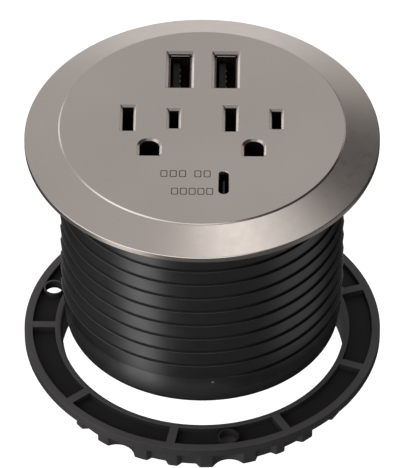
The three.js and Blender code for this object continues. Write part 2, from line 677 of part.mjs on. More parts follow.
// ---------------------------------------------------------------- clamp ring nut
function makeNutBody() {
  const floor = NUT_TOP - NUT_POCKET_DEPTH;
  return turned([
    [NUT_BORE, NUT_BOTTOM + 0.5],
    [NUT_BORE + 0.5, NUT_BOTTOM],
    [NUT_COLLAR_RADIUS - 0.3, NUT_BOTTOM],
    [NUT_COLLAR_RADIUS, NUT_BOTTOM + 0.3],
    [NUT_COLLAR_RADIUS, NUT_FLANGE_BOTTOM],
    [NUT_RADIUS - 0.3, NUT_FLANGE_BOTTOM],
    [NUT_RADIUS, NUT_FLANGE_BOTTOM + 0.3],
    [NUT_RADIUS, NUT_TOP - 0.25],
    [NUT_RADIUS - 0.2, NUT_TOP],
    [NUT_POCKET_OUTER, NUT_TOP],
    [NUT_POCKET_OUTER, floor],
    [NUT_POCKET_INNER, floor],
    [NUT_POCKET_INNER, NUT_TOP],
    [NUT_BORE + 0.45, NUT_TOP],
    [NUT_BORE, NUT_TOP - 0.45],
  ]);
}

// A round finger grip in the collar.
function makeScallop(angle) {
  const [x, y] = polar(47.2, angle);
  return rod(5, NUT_BOTTOM - 1, NUT_FLANGE_BOTTOM, x, y, 24);
}

// A notch for a spanner: flat floor and sloping sides.
function makeNotch(angle) {
  const shape = new THREE.Shape();
  shape.moveTo(43.3, -2.0);
  shape.lineTo(46.0, -4.1);
  shape.lineTo(46.0, 4.1);
  shape.lineTo(43.3, 2.0);
  return prism(shape, NUT_BOTTOM - 1, NUT_FLANGE_BOTTOM).rotate([0, 0, angle]);
}

function makeClampNut() {
  const floor = NUT_TOP - NUT_POCKET_DEPTH;
  const pitch = 360 / NUT_RIBS;
  const ribs = [];
  const bites = [];
  for (let i = 0; i < NUT_RIBS; i += 1) {
    const angle = pitch * i;
    ribs.push(block(6.8, 2.4, floor - 0.4, NUT_TOP, 44.9, 0, angle + pitch / 2));
    bites.push(makeScallop(angle), makeNotch(angle + 14.3), makeNotch(angle + 25.7));
  }
  const bosses = NUT_BOSS_ANGLES.map((angle) => (
    rod(2.95, floor - 0.4, NUT_TOP - 0.1, ...polar(45.15, angle), 16)));
  const bossHoles = NUT_BOSS_ANGLES.map((angle) => (
    rod(2.5, NUT_FLANGE_BOTTOM - 1, NUT_TOP + 1, ...polar(45.15, angle), 16)));
  // The inner ridge rides just above the housing thread's ledge, in step with it at rest.
  const ridgeTurn = (NUT_TOP - 0.9 - THREAD_TOP) / THREAD_PITCH;
  const wholeTurns = Math.floor(ridgeTurn);
  const ridgeStart = THREAD_TOP + wholeTurns * THREAD_PITCH;
  const profile = [[-0.65, 0.5], [0.6, 0.2], [0.6, 2.0], [-0.65, 1.6]];
  const ridge = helicalRidge(profile, NUT_BORE, THREAD_TOP_ANGLE, THREAD_TOP_ANGLE - 225, ridgeStart, 7.5);
  return cut(join(makeNutBody(), ...ribs, ...bosses, ridge), ...bites, ...bossHoles);
}

part('clamp_ring_nut', makeClampNut(), 'black_nut');

export default group;
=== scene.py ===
"""Looks for the round in-desk power unit: metal trim, sockets, threaded housing and ring nut."""

import json
from math import atan2, cos, degrees, hypot, radians, sin

import bmesh
import bpy
from mathutils import Matrix, Vector


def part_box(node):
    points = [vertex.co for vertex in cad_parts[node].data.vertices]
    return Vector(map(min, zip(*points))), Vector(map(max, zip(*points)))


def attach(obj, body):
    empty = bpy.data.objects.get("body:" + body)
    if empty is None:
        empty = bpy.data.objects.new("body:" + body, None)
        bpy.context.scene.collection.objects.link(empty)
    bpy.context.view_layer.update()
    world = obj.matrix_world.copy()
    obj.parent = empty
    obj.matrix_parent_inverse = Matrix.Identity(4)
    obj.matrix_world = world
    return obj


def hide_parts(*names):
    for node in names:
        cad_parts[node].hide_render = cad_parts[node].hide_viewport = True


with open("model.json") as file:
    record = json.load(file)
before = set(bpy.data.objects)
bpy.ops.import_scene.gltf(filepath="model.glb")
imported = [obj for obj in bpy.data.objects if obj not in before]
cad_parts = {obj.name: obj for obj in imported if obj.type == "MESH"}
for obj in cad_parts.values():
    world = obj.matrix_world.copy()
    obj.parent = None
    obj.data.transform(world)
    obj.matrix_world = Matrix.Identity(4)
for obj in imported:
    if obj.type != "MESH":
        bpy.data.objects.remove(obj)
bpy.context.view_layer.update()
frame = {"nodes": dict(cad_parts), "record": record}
MM = 0.001

# ------------------------------------------------------------------ sizes, from the frame
trim_low, trim_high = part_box("face_plate")
housing_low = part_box("threaded_housing")[0]
nut_low, nut_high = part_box("clamp_ring_nut")

FLANGE_RADIUS = (trim_high.x - trim_low.x) / 2 / MM
DISC_TOP = trim_high.z / MM
HOUSING_BOTTOM = housing_low.z / MM
NUT_TOP = nut_high.z / MM
NUT_BOTTOM = nut_low.z / MM
NUT_RADIUS = (nut_high.x - nut_low.x) / 2 / MM

# millimetres, as in the part
DISC_RADIUS = 39.6
DISC_STEP = 0.49
RIM_HEIGHT = 1.65
PLATE_UNDERSIDE = 4.5
PLATE_BORE = 38.0
SHOULDER_RECESS = (44.4, 2.2)
TRIM_SEGMENTS = 240
HOUSING_RADIUS = 38.6
HOUSING_BORE = 36.2
SHOULDER_RADIUS = 44.0
SHOULDER_BOTTOM = 0.9
SHOULDER_TOP = 1.9
FOOT_HEIGHT = 1.2

THREAD_PITCH = 5.1
THREAD_CREST = 39.8
THREAD_ROOT = 39.28
THREAD_TOP = -2.4
THREAD_TOP_ANGLE = 270
THREAD_TURNS = 9.99
THREAD_GAP_HALF = 4
THREAD_RUN_OUT = 14

NUT_BORE = 40.1
NUT_FLANGE_BOTTOM = -73.0
NUT_COLLAR_RADIUS = 44.8
NUT_POCKET_INNER = 41.7
NUT_POCKET_OUTER = 48.06
NUT_POCKET_DEPTH = 1.9
NUT_RIBS = 9
NUT_BOSS_ANGLES = (40, 160, 280)
NUT_BOSS_CENTRE = 45.15
NUT_BOSS_RADIUS = 2.95
NUT_BOSS_HOLE = 2.5
NUT_RIB_CENTRE = 44.9
NUT_RIB_LENGTH = 6.9
NUT_RIB_WIDTH = 2.4
BITE_CENTRE = 47.2
BITE_RADIUS = 5.0
NOTCH_ROOT = 43.34

OUTLET_X = 14.2
GROUND_X = 14.4
BLADE_OFFSET = 6.35
BLADE_Y = 3.35
GROUND_Y = -8.55
USB_A_X = 6.4
USB_A_Y = 23.6
USB_C_X = 6.2
USB_C_Y = -23.0
COVER_SCREW_RADIUS = 32.4
COVER_SCREW_ANGLES = (30, 150, 270)
GLAND_Y = 14.0
GLAND_CAP_TOP = -65.8
GLAND_HEXAGON_BOTTOM = -66.1

# width, height and corner radius of each opening in the face
NEUTRAL_SLOT = (3.0, 9.7, 0.1)
HOT_SLOT = (2.6, 7.3, 0.1)
GROUND_HOLE = (5.45, 6.1, 0.2)
USB_A_OPENING = (6.35, 14.15, 0.1)
USB_C_OPENING = (2.75, 9.15, 1.37)
OUTLET_FLARE = 0.6
USB_A_FLARE = 0.65
USB_C_FLARE = 0.14

# ------------------------------------------------------------------ camera
CAMERA_DISTANCE = 2.0
CAMERA_ELEVATION = radians(42.74)
CAMERA_AZIMUTH = radians(0.7)
PIXELS_PER_METRE = 3580.0
LONG_SIDE = 468
SENSOR = 36.0


def make_camera():
    """Stands two metres off at the photograph's angle, aimed a little below and right of the
    housing's middle so that the unit and its nut fill the frame as they do there."""
    pivot = Vector((0, 0, -27.2 * MM))
    back = Vector((
        sin(CAMERA_AZIMUTH) * cos(CAMERA_ELEVATION),
        -cos(CAMERA_AZIMUTH) * cos(CAMERA_ELEVATION),
        sin(CAMERA_ELEVATION),
    ))
    right = Vector((cos(CAMERA_AZIMUTH), sin(CAMERA_AZIMUTH), 0))
    up = back.cross(right)
    place = pivot + back * CAMERA_DISTANCE
    aim = pivot + right * 1.76 * MM - up * 5.71 * MM
    data = bpy.data.cameras.new("camera")
    data.sensor_width = SENSOR
    data.lens = PIXELS_PER_METRE * CAMERA_DISTANCE / LONG_SIDE * SENSOR
    data.clip_end = 20
    camera = bpy.data.objects.new("camera", data)
    camera.location = place
    camera.rotation_euler = (aim - place).to_track_quat("-Z", "Y").to_euler()
    bpy.context.scene.collection.objects.link(camera)
    bpy.context.scene.camera = camera


# ------------------------------------------------------------------ mesh helpers
def polar(radius, angle):
    """The point at a radius and an angle in degrees."""
    return radius * cos(radians(angle)), radius * sin(radians(angle))


def piece_from(bm, name, body="unit", sharp=30):
    """Welds a bmesh given in millimetres into an object that rides on a body."""
    bmesh.ops.remove_doubles(bm, verts=bm.verts, dist=1e-4)
    bmesh.ops.dissolve_degenerate(bm, edges=bm.edges, dist=1e-5)
    bmesh.ops.recalc_face_normals(bm, faces=bm.faces)
    bmesh.ops.scale(bm, vec=(MM, MM, MM), verts=bm.verts)
    mesh = bpy.data.meshes.new(name)
    bm.to_mesh(mesh)
    bm.free()
    mesh.polygons.foreach_set("use_smooth", [True] * len(mesh.polygons))
    mesh.set_sharp_from_angle(angle=radians(sharp))
    obj = bpy.data.objects.new(name, mesh)
    bpy.context.scene.collection.objects.link(obj)
    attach(obj, body)
    return obj


def add_grid(bm, rows):
    """Quads between rows of points; each row's last point meets its first."""
    made = [[bm.verts.new(point) for point in row] for row in rows]
    count = len(rows[0])
    for low, high in zip(made, made[1:]):
        for i in range(count):
            j = (i + 1) % count
            bm.faces.new((low[i], low[j], high[j], high[i]))
    return made


def close_ends(bm, made):
    """Faces over the first and the last row of a grid."""
    bm.faces.new(made[0])
    bm.faces.new(reversed(made[-1]))


def add_lathe(bm, profile, segments):
    """Turns [radius, z] points about the axis; points on the axis close the ends."""
    angles = [360 * i / segments for i in range(segments)]
    for (r0, z0), (r1, z1) in zip(profile, profile[1:]):
        rings = []
        for radius, z in ((r0, z0), (r1, z1)):
            rings.append([(*polar(radius, angle), z) for angle in angles])
        if r0 == 0 or r1 == 0:
            centre = bm.verts.new((0, 0, z0 if r0 == 0 else z1))
            ring = [bm.verts.new(point) for point in rings[1 if r0 == 0 else 0]]
            for i in range(segments):
                bm.faces.new((centre, ring[i], ring[(i + 1) % segments]))
        else:
            add_grid(bm, rings)


BOX_FACES = ((0, 2, 3, 1), (4, 5, 7, 6), (0, 1, 5, 4), (1, 3, 7, 5), (3, 2, 6, 7), (2, 0, 4, 6))


def add_box(bm, size, centre, turn):
    """An upright box turned about the part's axis after it is placed."""
    sx, sy, sz = (side / 2 for side in size)
    a = radians(turn)
    corners = []
    for x, y, z in ((x, y, z) for z in (-sz, sz) for y in (-sy, sy) for x in (-sx, sx)):
        px, py = centre[0] + x, centre[1] + y
        spot = (px * cos(a) - py * sin(a), px * sin(a) + py * cos(a), centre[2] + z)
        corners.append(bm.verts.new(spot))
    for face in BOX_FACES:
        bm.faces.new([corners[i] for i in face])


def apply_modifiers(obj):
    """Works the object's modifiers into its mesh."""
    graph = bpy.context.evaluated_depsgraph_get()
    mesh = bpy.data.meshes.new_from_object(obj.evaluated_get(graph))
    obj.modifiers.clear()
    obj.data = mesh


def soften(obj, width, angle):
    """A small bevel on every edge that turns by more than the angle."""
    bevel = obj.modifiers.new("soft_edges", "BEVEL")
    bevel.width = width * MM
    bevel.segments = 2
    bevel.limit_method = "ANGLE"
    bevel.angle_limit = radians(angle)
    bevel.use_clamp_overlap = True
    bevel.harden_normals = True
    apply_modifiers(obj)


def weigh_normals(obj):
    """Lets large faces shade flat and keeps the roundness in the narrow ones beside them."""
    modifier = obj.modifiers.new("weighted", "WEIGHTED_NORMAL")
    modifier.keep_sharp = True
    apply_modifiers(obj)


def boolean(obj, other, operation):
    """Joins or cuts with another object, which is then deleted, and drops slivers."""
    modifier = obj.modifiers.new("boolean", "BOOLEAN")
    modifier.object = other
    modifier.operation = operation
    modifier.solver = "EXACT"
    apply_modifiers(obj)
    bm = bmesh.new()
    bm.from_mesh(obj.data)
    bmesh.ops.dissolve_degenerate(bm, edges=bm.edges, dist=1e-4 * MM)
    bm.to_mesh(obj.data)
    bm.free()
    bpy.data.objects.remove(other)
    if not obj.data.polygons:
        raise RuntimeError(obj.name + " came out empty")


# ------------------------------------------------------------------ outlines in the face
CORNER_TURNS = range(0, 91, 15)
ARCH_TURNS = [7.5 * step for step in range(25)]


def rounded_rectangle(width, height, radius, grow=0.0):
    """Points of a rounded rectangle about the origin, moved outwards by grow."""
    reach = radius + grow * min(1.0, radius)
    cx, cy = width / 2 + grow - reach, height / 2 + grow - reach
    points = []
    for sx, sy, start in ((1, 1, 0), (-1, 1, 90), (-1, -1, 180), (1, -1, 270)):
        for turn in CORNER_TURNS:
            x, y = polar(reach, start + turn)
            points.append((sx * cx + x, sy * cy + y))
    return points


def arch(width, height, radius, grow=0.0):
    """A ground hole: square corners at the front and a half circle at the back."""
    half = width / 2
    points = []
    for sx, start in ((-1, 180), (1, 270)):
        for turn in CORNER_TURNS:
            x, y = polar(radius + grow, start + turn)
            points.append((sx * (half - radius) + x, -height / 2 + radius + y))
    for turn in ARCH_TURNS:
        x, y = polar(half + grow, turn)
        points.append((x, height / 2 - half + y))
    return points


FACE_OPENINGS = []
for side in (-1, 1):
    neutral, hot = side * OUTLET_X - BLADE_OFFSET, side * OUTLET_X + BLADE_OFFSET
    FACE_OPENINGS += [
        (rounded_rectangle, NEUTRAL_SLOT, OUTLET_FLARE, neutral, BLADE_Y),
        (rounded_rectangle, HOT_SLOT, OUTLET_FLARE, hot, BLADE_Y - 0.1),
        (arch, GROUND_HOLE, OUTLET_FLARE, side * GROUND_X, GROUND_Y),
    ]
for port in (-USB_A_X, USB_A_X):
    FACE_OPENINGS.append((rounded_rectangle, USB_A_OPENING, USB_A_FLARE, port, USB_A_Y))
FACE_OPENINGS.append((rounded_rectangle, USB_C_OPENING, USB_C_FLARE, USB_C_X, USB_C_Y))


# ------------------------------------------------------------------ trim
def opening_rows(outline, sizes, flare, x, y):
    """The outlines down one opening: a rounded lip, the flare, then straight walls."""
    depth = flare * 0.95
    lip = flare / OUTLET_FLARE
    steps = [
        (flare * 1.24, 0.0),
        (flare * 1.18, 0.008),
        (flare * 1.00, 0.07 * lip),
        (flare * 0.90, 0.14 * lip),
        (0.06, depth - 0.03),
        (0.01, depth + 0.03),
        (0.0, depth + 0.12),
        (0.0, DISC_TOP - PLATE_UNDERSIDE),
    ]
    return [
        [(x + px, y + py, DISC_TOP - fall) for px, py in outline(*sizes, grow=grow)]
        for grow, fall in steps
    ]


def make_face_trim():
    """The one-piece metal trim: a raised disc with the openings, the bevel and the rim."""
    bm = bmesh.new()
    angles = [360 * i / TRIM_SEGMENTS for i in range(TRIM_SEGMENTS)]
    shoulder = DISC_TOP - DISC_STEP
    recess_radius, recess_top = SHOULDER_RECESS
    outside = [
        (DISC_RADIUS - 0.25, DISC_TOP),
        (DISC_RADIUS - 0.18, DISC_TOP - 0.03),
        (DISC_RADIUS - 0.04, DISC_TOP - 0.18),
        (DISC_RADIUS + 0.10, shoulder + 0.04),
        (DISC_RADIUS + 0.15, shoulder),
        (DISC_RADIUS + 0.25, shoulder - 0.05),
        (FLANGE_RADIUS - 0.35, RIM_HEIGHT + 0.25),
        (FLANGE_RADIUS - 0.10, RIM_HEIGHT + 0.13),
        (FLANGE_RADIUS, RIM_HEIGHT - 0.05),
        (FLANGE_RADIUS, 0.25),
        (FLANGE_RADIUS - 0.06, 0.08),
        (FLANGE_RADIUS - 0.22, 0.0),
        (recess_radius, 0.0),
        (recess_radius, recess_top),
        (PLATE_BORE, recess_top),
        (PLATE_BORE, PLATE_UNDERSIDE),
    ]
    add_grid(bm, [[(*polar(radius, angle), z) for angle in angles] for radius, z in outside])
    for opening in FACE_OPENINGS:
        add_grid(bm, opening_rows(*opening))
    bmesh.ops.remove_doubles(bm, verts=bm.verts, dist=1e-4)
    for height in (DISC_TOP, PLATE_UNDERSIDE):
        level = [
            edge for edge in bm.edges
            if edge.is_boundary and all(abs(vert.co.z - height) < 1e-5 for vert in edge.verts)
        ]
        bmesh.ops.triangle_fill(bm, use_beauty=True, use_dissolve=False, edges=level)
    trim = piece_from(bm, "face_trim", sharp=24)
    weigh_normals(trim)
    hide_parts("face_plate")
    return trim


# ------------------------------------------------------------------ housing
LAST_THREAD_ANGLE = THREAD_TOP_ANGLE - 360 * THREAD_TURNS
HELIX_TURNS = range(1, -13, -1)
HOUSING_ANGLES = {1.5 * i for i in range(241)}
BREAK_SIDE = 0.02


def threaded(angle):
    """True where the thread exists, at an angle counted along the helix."""
    from_gap = abs((angle + 90) % 180 - 90)
    return from_gap > THREAD_GAP_HALF and LAST_THREAD_ANGLE < angle < THREAD_TOP_ANGLE


def run_out(angle):
    """How much of the thread's height is left near its lower end."""
    return min(1.0, max(0.0, (angle - LAST_THREAD_ANGLE) / THREAD_RUN_OUT))


def thread_column(angle, side):
    """Radius and height down the housing at one angle; side says which side of a break."""
    zone_top, zone_bottom = -1.0, HOUSING_BOTTOM + FOOT_HEIGHT
    root_depth, crest_depth = THREAD_ROOT - HOUSING_RADIUS, THREAD_CREST - HOUSING_RADIUS
    column = [(HOUSING_RADIUS, SHOULDER_BOTTOM - 0.1), (HOUSING_RADIUS, zone_top)]
    for turn in HELIX_TURNS:
        helix = angle + 360 * turn
        height = THREAD_TOP + THREAD_PITCH * (helix - THREAD_TOP_ANGLE) / 360
        here = threaded(helix + side)
        above = threaded(helix + 360 + side)
        upper = HOUSING_RADIUS + root_depth * (run_out(helix + 360) if above else 0)
        left = run_out(helix) if here else 0
        crest = HOUSING_RADIUS + crest_depth * left
        lower = HOUSING_RADIUS + root_depth * left
        slope = (crest - lower) / THREAD_PITCH
        tooth = [
            (upper + 0.12 * slope, height + 0.12),
            (upper, height - 0.05 * left),
            (crest - 0.05 * left, height - 0.05 * left),
            (crest, height - 0.10 * left),
            (crest - 0.15 * slope, height - 0.25),
            (lower + 0.3 * slope, height - THREAD_PITCH + 0.3),
        ]
        if here and not threaded(helix - 360 + side):
            tooth += [(lower, height - THREAD_PITCH), (HOUSING_RADIUS, height - THREAD_PITCH - 0.1)]
        else:
            tooth += [tooth[-1], tooth[-1]]
        column += [(radius, min(max(z, zone_bottom), zone_top)) for radius, z in tooth]
    return column + [(HOUSING_RADIUS, zone_bottom)]


def make_housing():
    """The sleeve with its paused buttress thread, its shoulder and its plain lower band."""
    bm = bmesh.new()
    closing = [
        (HOUSING_RADIUS, HOUSING_BOTTOM + 0.45),
        (HOUSING_RADIUS - 0.13, HOUSING_BOTTOM + 0.13),
        (HOUSING_RADIUS - 0.45, HOUSING_BOTTOM),
        (HOUSING_BORE + 0.3, HOUSING_BOTTOM),
        (HOUSING_BORE, HOUSING_BOTTOM + 0.3),
        (HOUSING_BORE, SHOULDER_TOP),
        (SHOULDER_RADIUS - 0.2, SHOULDER_TOP),
        (SHOULDER_RADIUS, SHOULDER_TOP - 0.2),
        (SHOULDER_RADIUS, SHOULDER_BOTTOM),
        (HOUSING_RADIUS + 0.1, SHOULDER_BOTTOM),
    ]
    columns = []
    breaks = {(half + way * THREAD_GAP_HALF) % 360 for half in (0, 180) for way in (-1, 1)}
    breaks |= {THREAD_TOP_ANGLE % 360, LAST_THREAD_ANGLE % 360}
    for angle in sorted(HOUSING_ANGLES | breaks):
        sides = (-BREAK_SIDE, BREAK_SIDE) if angle in breaks else (0.0,)
        for side in sides:
            x, y = polar(1, angle + side)
            column = thread_column(angle, side) + closing
            columns.append([(radius * x, radius * y, z) for radius, z in column])
    add_grid(bm, columns)
    housing = piece_from(bm, "housing_sleeve", sharp=32)
    weigh_normals(housing)
    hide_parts("threaded_housing")
    return housing


# ------------------------------------------------------------------ clamp ring nut
def rounded_corners(points, reach=0.22, least_turn=25):
    """Replaces each sharp corner of a closed outline by a short arc."""
    result = []
    for i, here in enumerate(points):
        before, after = points[i - 1], points[(i + 1) % len(points)]
        ahead = (after - here).normalized()
        behind = (before - here).normalized()
        if 180 - degrees(ahead.angle(behind)) < least_turn:
            result.append(here)
            continue
        start, end = here + behind * reach, here + ahead * reach
        for step in (0.0, 1 / 3, 2 / 3, 1.0):
            low, high = start.lerp(here, step), here.lerp(end, step)
            result.append(low.lerp(high, step))
    return result


RIB_PITCH = 360 / NUT_RIBS
# angles in degrees
NOTCH_MIDDLE = 14.3
NOTCH_HALF_ROOT = 2.65
NOTCH_HALF_MOUTH = 4.05


def notch(middle):
    """The radius and angle of each corner of one spanner notch, about its middle."""
    return [
        (NUT_COLLAR_RADIUS, middle - NOTCH_HALF_MOUTH),
        (NOTCH_ROOT, middle - NOTCH_HALF_ROOT),
        (NOTCH_ROOT, middle),
        (NOTCH_ROOT, middle + NOTCH_HALF_ROOT),
        (NUT_COLLAR_RADIUS, middle + NOTCH_HALF_MOUTH),
    ]


# Between two bites the collar has a land, a notch, a land, a notch and a land.
NOTCHED_GROUP = [
    (NUT_COLLAR_RADIUS, 5.6),
    (NUT_COLLAR_RADIUS, 8.2),
    *notch(NOTCH_MIDDLE),
    (NUT_COLLAR_RADIUS, RIB_PITCH / 2),
    *notch(RIB_PITCH - NOTCH_MIDDLE),
    (NUT_COLLAR_RADIUS, RIB_PITCH - 8.2),
    (NUT_COLLAR_RADIUS, RIB_PITCH - 5.6),
]


def collar_outline():
    """The grip seen from above: nine groups of one round bite and two spanner notches."""
    points = []
    for group in range(NUT_RIBS):
        start = group * RIB_PITCH
        bite = Vector(polar(BITE_CENTRE, start))
        for step in range(-8, 9):
            spot = bite + Vector(polar(BITE_RADIUS, start + 180 - 7.6 * step))
            if spot.length < NUT_COLLAR_RADIUS:
                points.append(spot)
        points += [Vector(polar(radius, start + turn)) for radius, turn in NOTCHED_GROUP]
    return rounded_corners(points)


def make_nut_ring():
    """The nut without its ribs and thread: bore, pocket, flange and the gripped collar."""
    bm = bmesh.new()
    collar = collar_outline()
    angles = [degrees(atan2(point.y, point.x)) for point in collar]
    floor = NUT_TOP - NUT_POCKET_DEPTH
    rows = []

    def circles(*profile):
        rows.extend([(*polar(radius, angle), z) for angle in angles] for radius, z in profile)

    def collars(*profile):
        for out, z in profile:
            rows.append([(*(point * (1 + out / point.length)), z) for point in collar])

    circles(
        (NUT_BORE, NUT_BOTTOM + 0.5),
        (NUT_BORE + 0.12, NUT_BOTTOM + 0.15),
        (NUT_BORE + 0.5, NUT_BOTTOM),
    )
    collars(
        (-0.35, NUT_BOTTOM),
        (-0.10, NUT_BOTTOM + 0.10),
        (0.0, NUT_BOTTOM + 0.35),
        (0.0, NUT_FLANGE_BOTTOM - 0.25),
        (0.07, NUT_FLANGE_BOTTOM - 0.07),
        (0.25, NUT_FLANGE_BOTTOM),
    )
    circles(
        (NUT_RADIUS - 0.35, NUT_FLANGE_BOTTOM),
        (NUT_RADIUS - 0.10, NUT_FLANGE_BOTTOM + 0.10),
        (NUT_RADIUS, NUT_FLANGE_BOTTOM + 0.35),
        (NUT_RADIUS, NUT_TOP - 0.22),
        (NUT_RADIUS - 0.07, NUT_TOP - 0.07),
        (NUT_RADIUS - 0.22, NUT_TOP),
        (NUT_POCKET_OUTER + 0.08, NUT_TOP),
        (NUT_POCKET_OUTER, NUT_TOP - 0.08),
        (NUT_POCKET_OUTER, floor),
        (NUT_POCKET_INNER, floor),
        (NUT_POCKET_INNER, NUT_TOP - 0.08),
        (NUT_POCKET_INNER - 0.08, NUT_TOP),
        (NUT_BORE + 0.45, NUT_TOP),
        (NUT_BORE + 0.10, NUT_TOP - 0.14),
        (NUT_BORE, NUT_TOP - 0.45),
    )
    rows.append(rows[0])
    add_grid(bm, rows)
    return piece_from(bm, "clamp_nut", "clamp_nut", sharp=28)


def make_nut_ribs():
    """The nine radial ribs across the pocket."""
    bm = bmesh.new()
    height = NUT_POCKET_DEPTH + 0.4
    size = (NUT_RIB_LENGTH, NUT_RIB_WIDTH, height)
    centre = (NUT_RIB_CENTRE, 0, NUT_TOP - 0.02 - height / 2)
    for i in range(NUT_RIBS):
        add_box(bm, size, centre, RIB_PITCH * (i + 0.5))
    return piece_from(bm, "nut_ribs", "clamp_nut")


def make_nut_thread():
    """The ridge inside the bore, on the same helix as the housing's thread."""
    bm = bmesh.new()
    turns = (NUT_TOP - 0.9 - THREAD_TOP) // THREAD_PITCH
    start = THREAD_TOP + turns * THREAD_PITCH
    section = ((0.6, 0.45), (-0.45, 0.25), (-0.6, 0.4), (-0.6, 1.8), (-0.45, 1.95), (0.6, 1.6))
    rows = []
    steps, taper = 75, 3
    for step in range(steps + 1):
        turn = -3.0 * step
        rise = start + THREAD_PITCH * turn / 360
        tip = min(1.0, step / taper, (steps - step) / taper)
        rows.append([
            (*polar(NUT_BORE + (r if r > 0 else r * tip), THREAD_TOP_ANGLE + turn), rise + z)
            for r, z in section
        ])
    made = add_grid(bm, rows)
    close_ends(bm, made)
    return piece_from(bm, "nut_thread", "clamp_nut")


def make_cylinders(name, places, radius, bottom, top, body):
    """Upright cylinders, as tools to join or to cut with."""
    bm = bmesh.new()
    for x, y in places:
        made = bmesh.ops.create_cone(
            bm, cap_ends=True, segments=48, radius1=radius, radius2=radius, depth=top - bottom)
        bmesh.ops.translate(bm, vec=(x, y, (top + bottom) / 2), verts=made["verts"])
    return piece_from(bm, name, body)


def make_clamp_nut():
    """The ring nut: a ribbed flange with three open bosses on a gripped, threaded collar."""
    floor = NUT_TOP - NUT_POCKET_DEPTH
    places = [polar(NUT_BOSS_CENTRE, angle) for angle in NUT_BOSS_ANGLES]
    nut = make_nut_ring()
    boolean(nut, make_nut_thread(), "UNION")
    boolean(nut, make_nut_ribs(), "UNION")
    for name, radius, bottom, top, operation in (
            ("bosses", NUT_BOSS_RADIUS, floor - 0.4, NUT_TOP - 0.1, "UNION"),
            ("holes", NUT_BOSS_HOLE, NUT_FLANGE_BOTTOM - 1, NUT_TOP + 1, "DIFFERENCE")):
        boolean(nut, make_cylinders(name, places, radius, bottom, top, "clamp_nut"), operation)
    mesh = nut.data
    mesh.polygons.foreach_set("use_smooth", [True] * len(mesh.polygons))
    mesh.set_sharp_from_angle(angle=radians(28))
    weigh_normals(nut)
    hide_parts("clamp_ring_nut")
    return nut


def paint_nut(nut):
    """Painted shade: the grip's sides and the rougher pocket floors take darker copies of the top's
    black.
    """
    mesh = nut.data
    mesh.materials.clear()
    for slot in ("black_nut", "black_nut_painted_shade_pocket", "black_nut_painted_shade_side"):
        mesh.materials.append(MATERIALS[slot])
    for polygon in mesh.polygons:
        x, y, z = polygon.center / MM
        radius = hypot(x, y)
        in_pocket = NUT_POCKET_INNER - 0.1 < radius < NUT_POCKET_OUTER + 0.1
        # painted shade: pocket floors and walls take the darker pocket copy, the grip's sides and
        # underside the darker side copy
        if in_pocket and NUT_FLANGE_BOTTOM + 0.1 < z < NUT_TOP - 0.5:
            polygon.material_index = 1
        elif radius > NUT_BORE + 1.5 and z < NUT_TOP - 0.1:
            polygon.material_index = 2


# ------------------------------------------------------------------ ports and marks
def box_of(node):
    """The lowest and highest corners of a CAD node, in millimetres."""
    low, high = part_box(node)
    return [Vector(corner) / MM for corner in (low, high)]


def make_usb_a_contacts(side):
    """Four sprung contacts on the port's tongue."""
    high = box_of("usb_a_tongue_" + side)[1]
    bm = bmesh.new()
    profile = [
        (0.02, -7.5), (0.30, -6.5), (0.62, -3.2), (0.72, -2.5), (0.62, -1.8), (0.20, -0.7),
        (0.02, -0.7), (0.40, -1.8), (0.50, -2.5), (0.40, -3.2), (0.10, -6.5),
    ]
    for offset in (-3.5, -1.0, 1.0, 3.5):
        rows = []
        for edge, shrink in ((-0.5, 0.06), (-0.44, 0.0), (0.44, 0.0), (0.5, 0.06)):
            y = USB_A_Y + offset + edge
            rows.append([
                (high.x + out + (shrink if i > 5 else -shrink) * 0.5, y, high.z + up)
                for i, (out, up) in enumerate(profile)
            ])
        made = add_grid(bm, rows)
        close_ends(bm, made)
    contacts = piece_from(bm, "usb_a_contacts_" + side, sharp=40)
    return contacts


def make_usb_a_lip(side, x):
    """The turned-in edge along the far wall of the port, and the faint ledge under it."""
    high = box_of("usb_a_shell_" + side)[1]
    bm = bmesh.new()
    back, top = USB_A_Y + 6.75, high.z + 0.70
    out_and_down = [
        (0.0, 0.0), (0.04, 0.02), (0.17, 0.12), (0.19, 0.18), (0.16, 0.26), (0.0, 0.28),
        (0.0, 0.76), (0.07, 0.78), (0.09, 0.88), (0.0, 0.90),
    ]
    section = [Vector((back - out, top - down)) for out, down in out_and_down]
    middle = Vector((back - 0.15, top - 0.2))
    rows = [
        [(x + across, *point.lerp(middle, inset)) for point in section]
        for across, inset in ((-2.55, 0.05), (-2.50, 0.0), (2.50, 0.0), (2.55, 0.05))
    ]
    made = add_grid(bm, rows)
    close_ends(bm, made)
    lip = piece_from(bm, "usb_a_lip_" + side, sharp=40)
    return lip


def make_usb_c_tongue():
    """The blade in the middle of the port, with its shoulders and its rounded nose."""
    low, high = box_of("usb_c_tongue")
    bm = bmesh.new()
    half_x, half_y = 0.36, 3.35
    rows = []
    for z, inset in (
            (low.z, 0.0), (high.z + 0.05, 0.0), (high.z + 0.30, 0.06), (high.z + 0.40, 0.20)):
        outline = rounded_rectangle(2 * (half_x - inset * 0.8), 2 * (half_y - inset), 0.14)
        rows.append([(USB_C_X + px, USB_C_Y + py, z) for px, py in outline])
    made = add_grid(bm, rows)
    close_ends(bm, made)
    tongue = piece_from(bm, "usb_c_blade", sharp=40)
    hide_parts("usb_c_tongue")
    return tongue


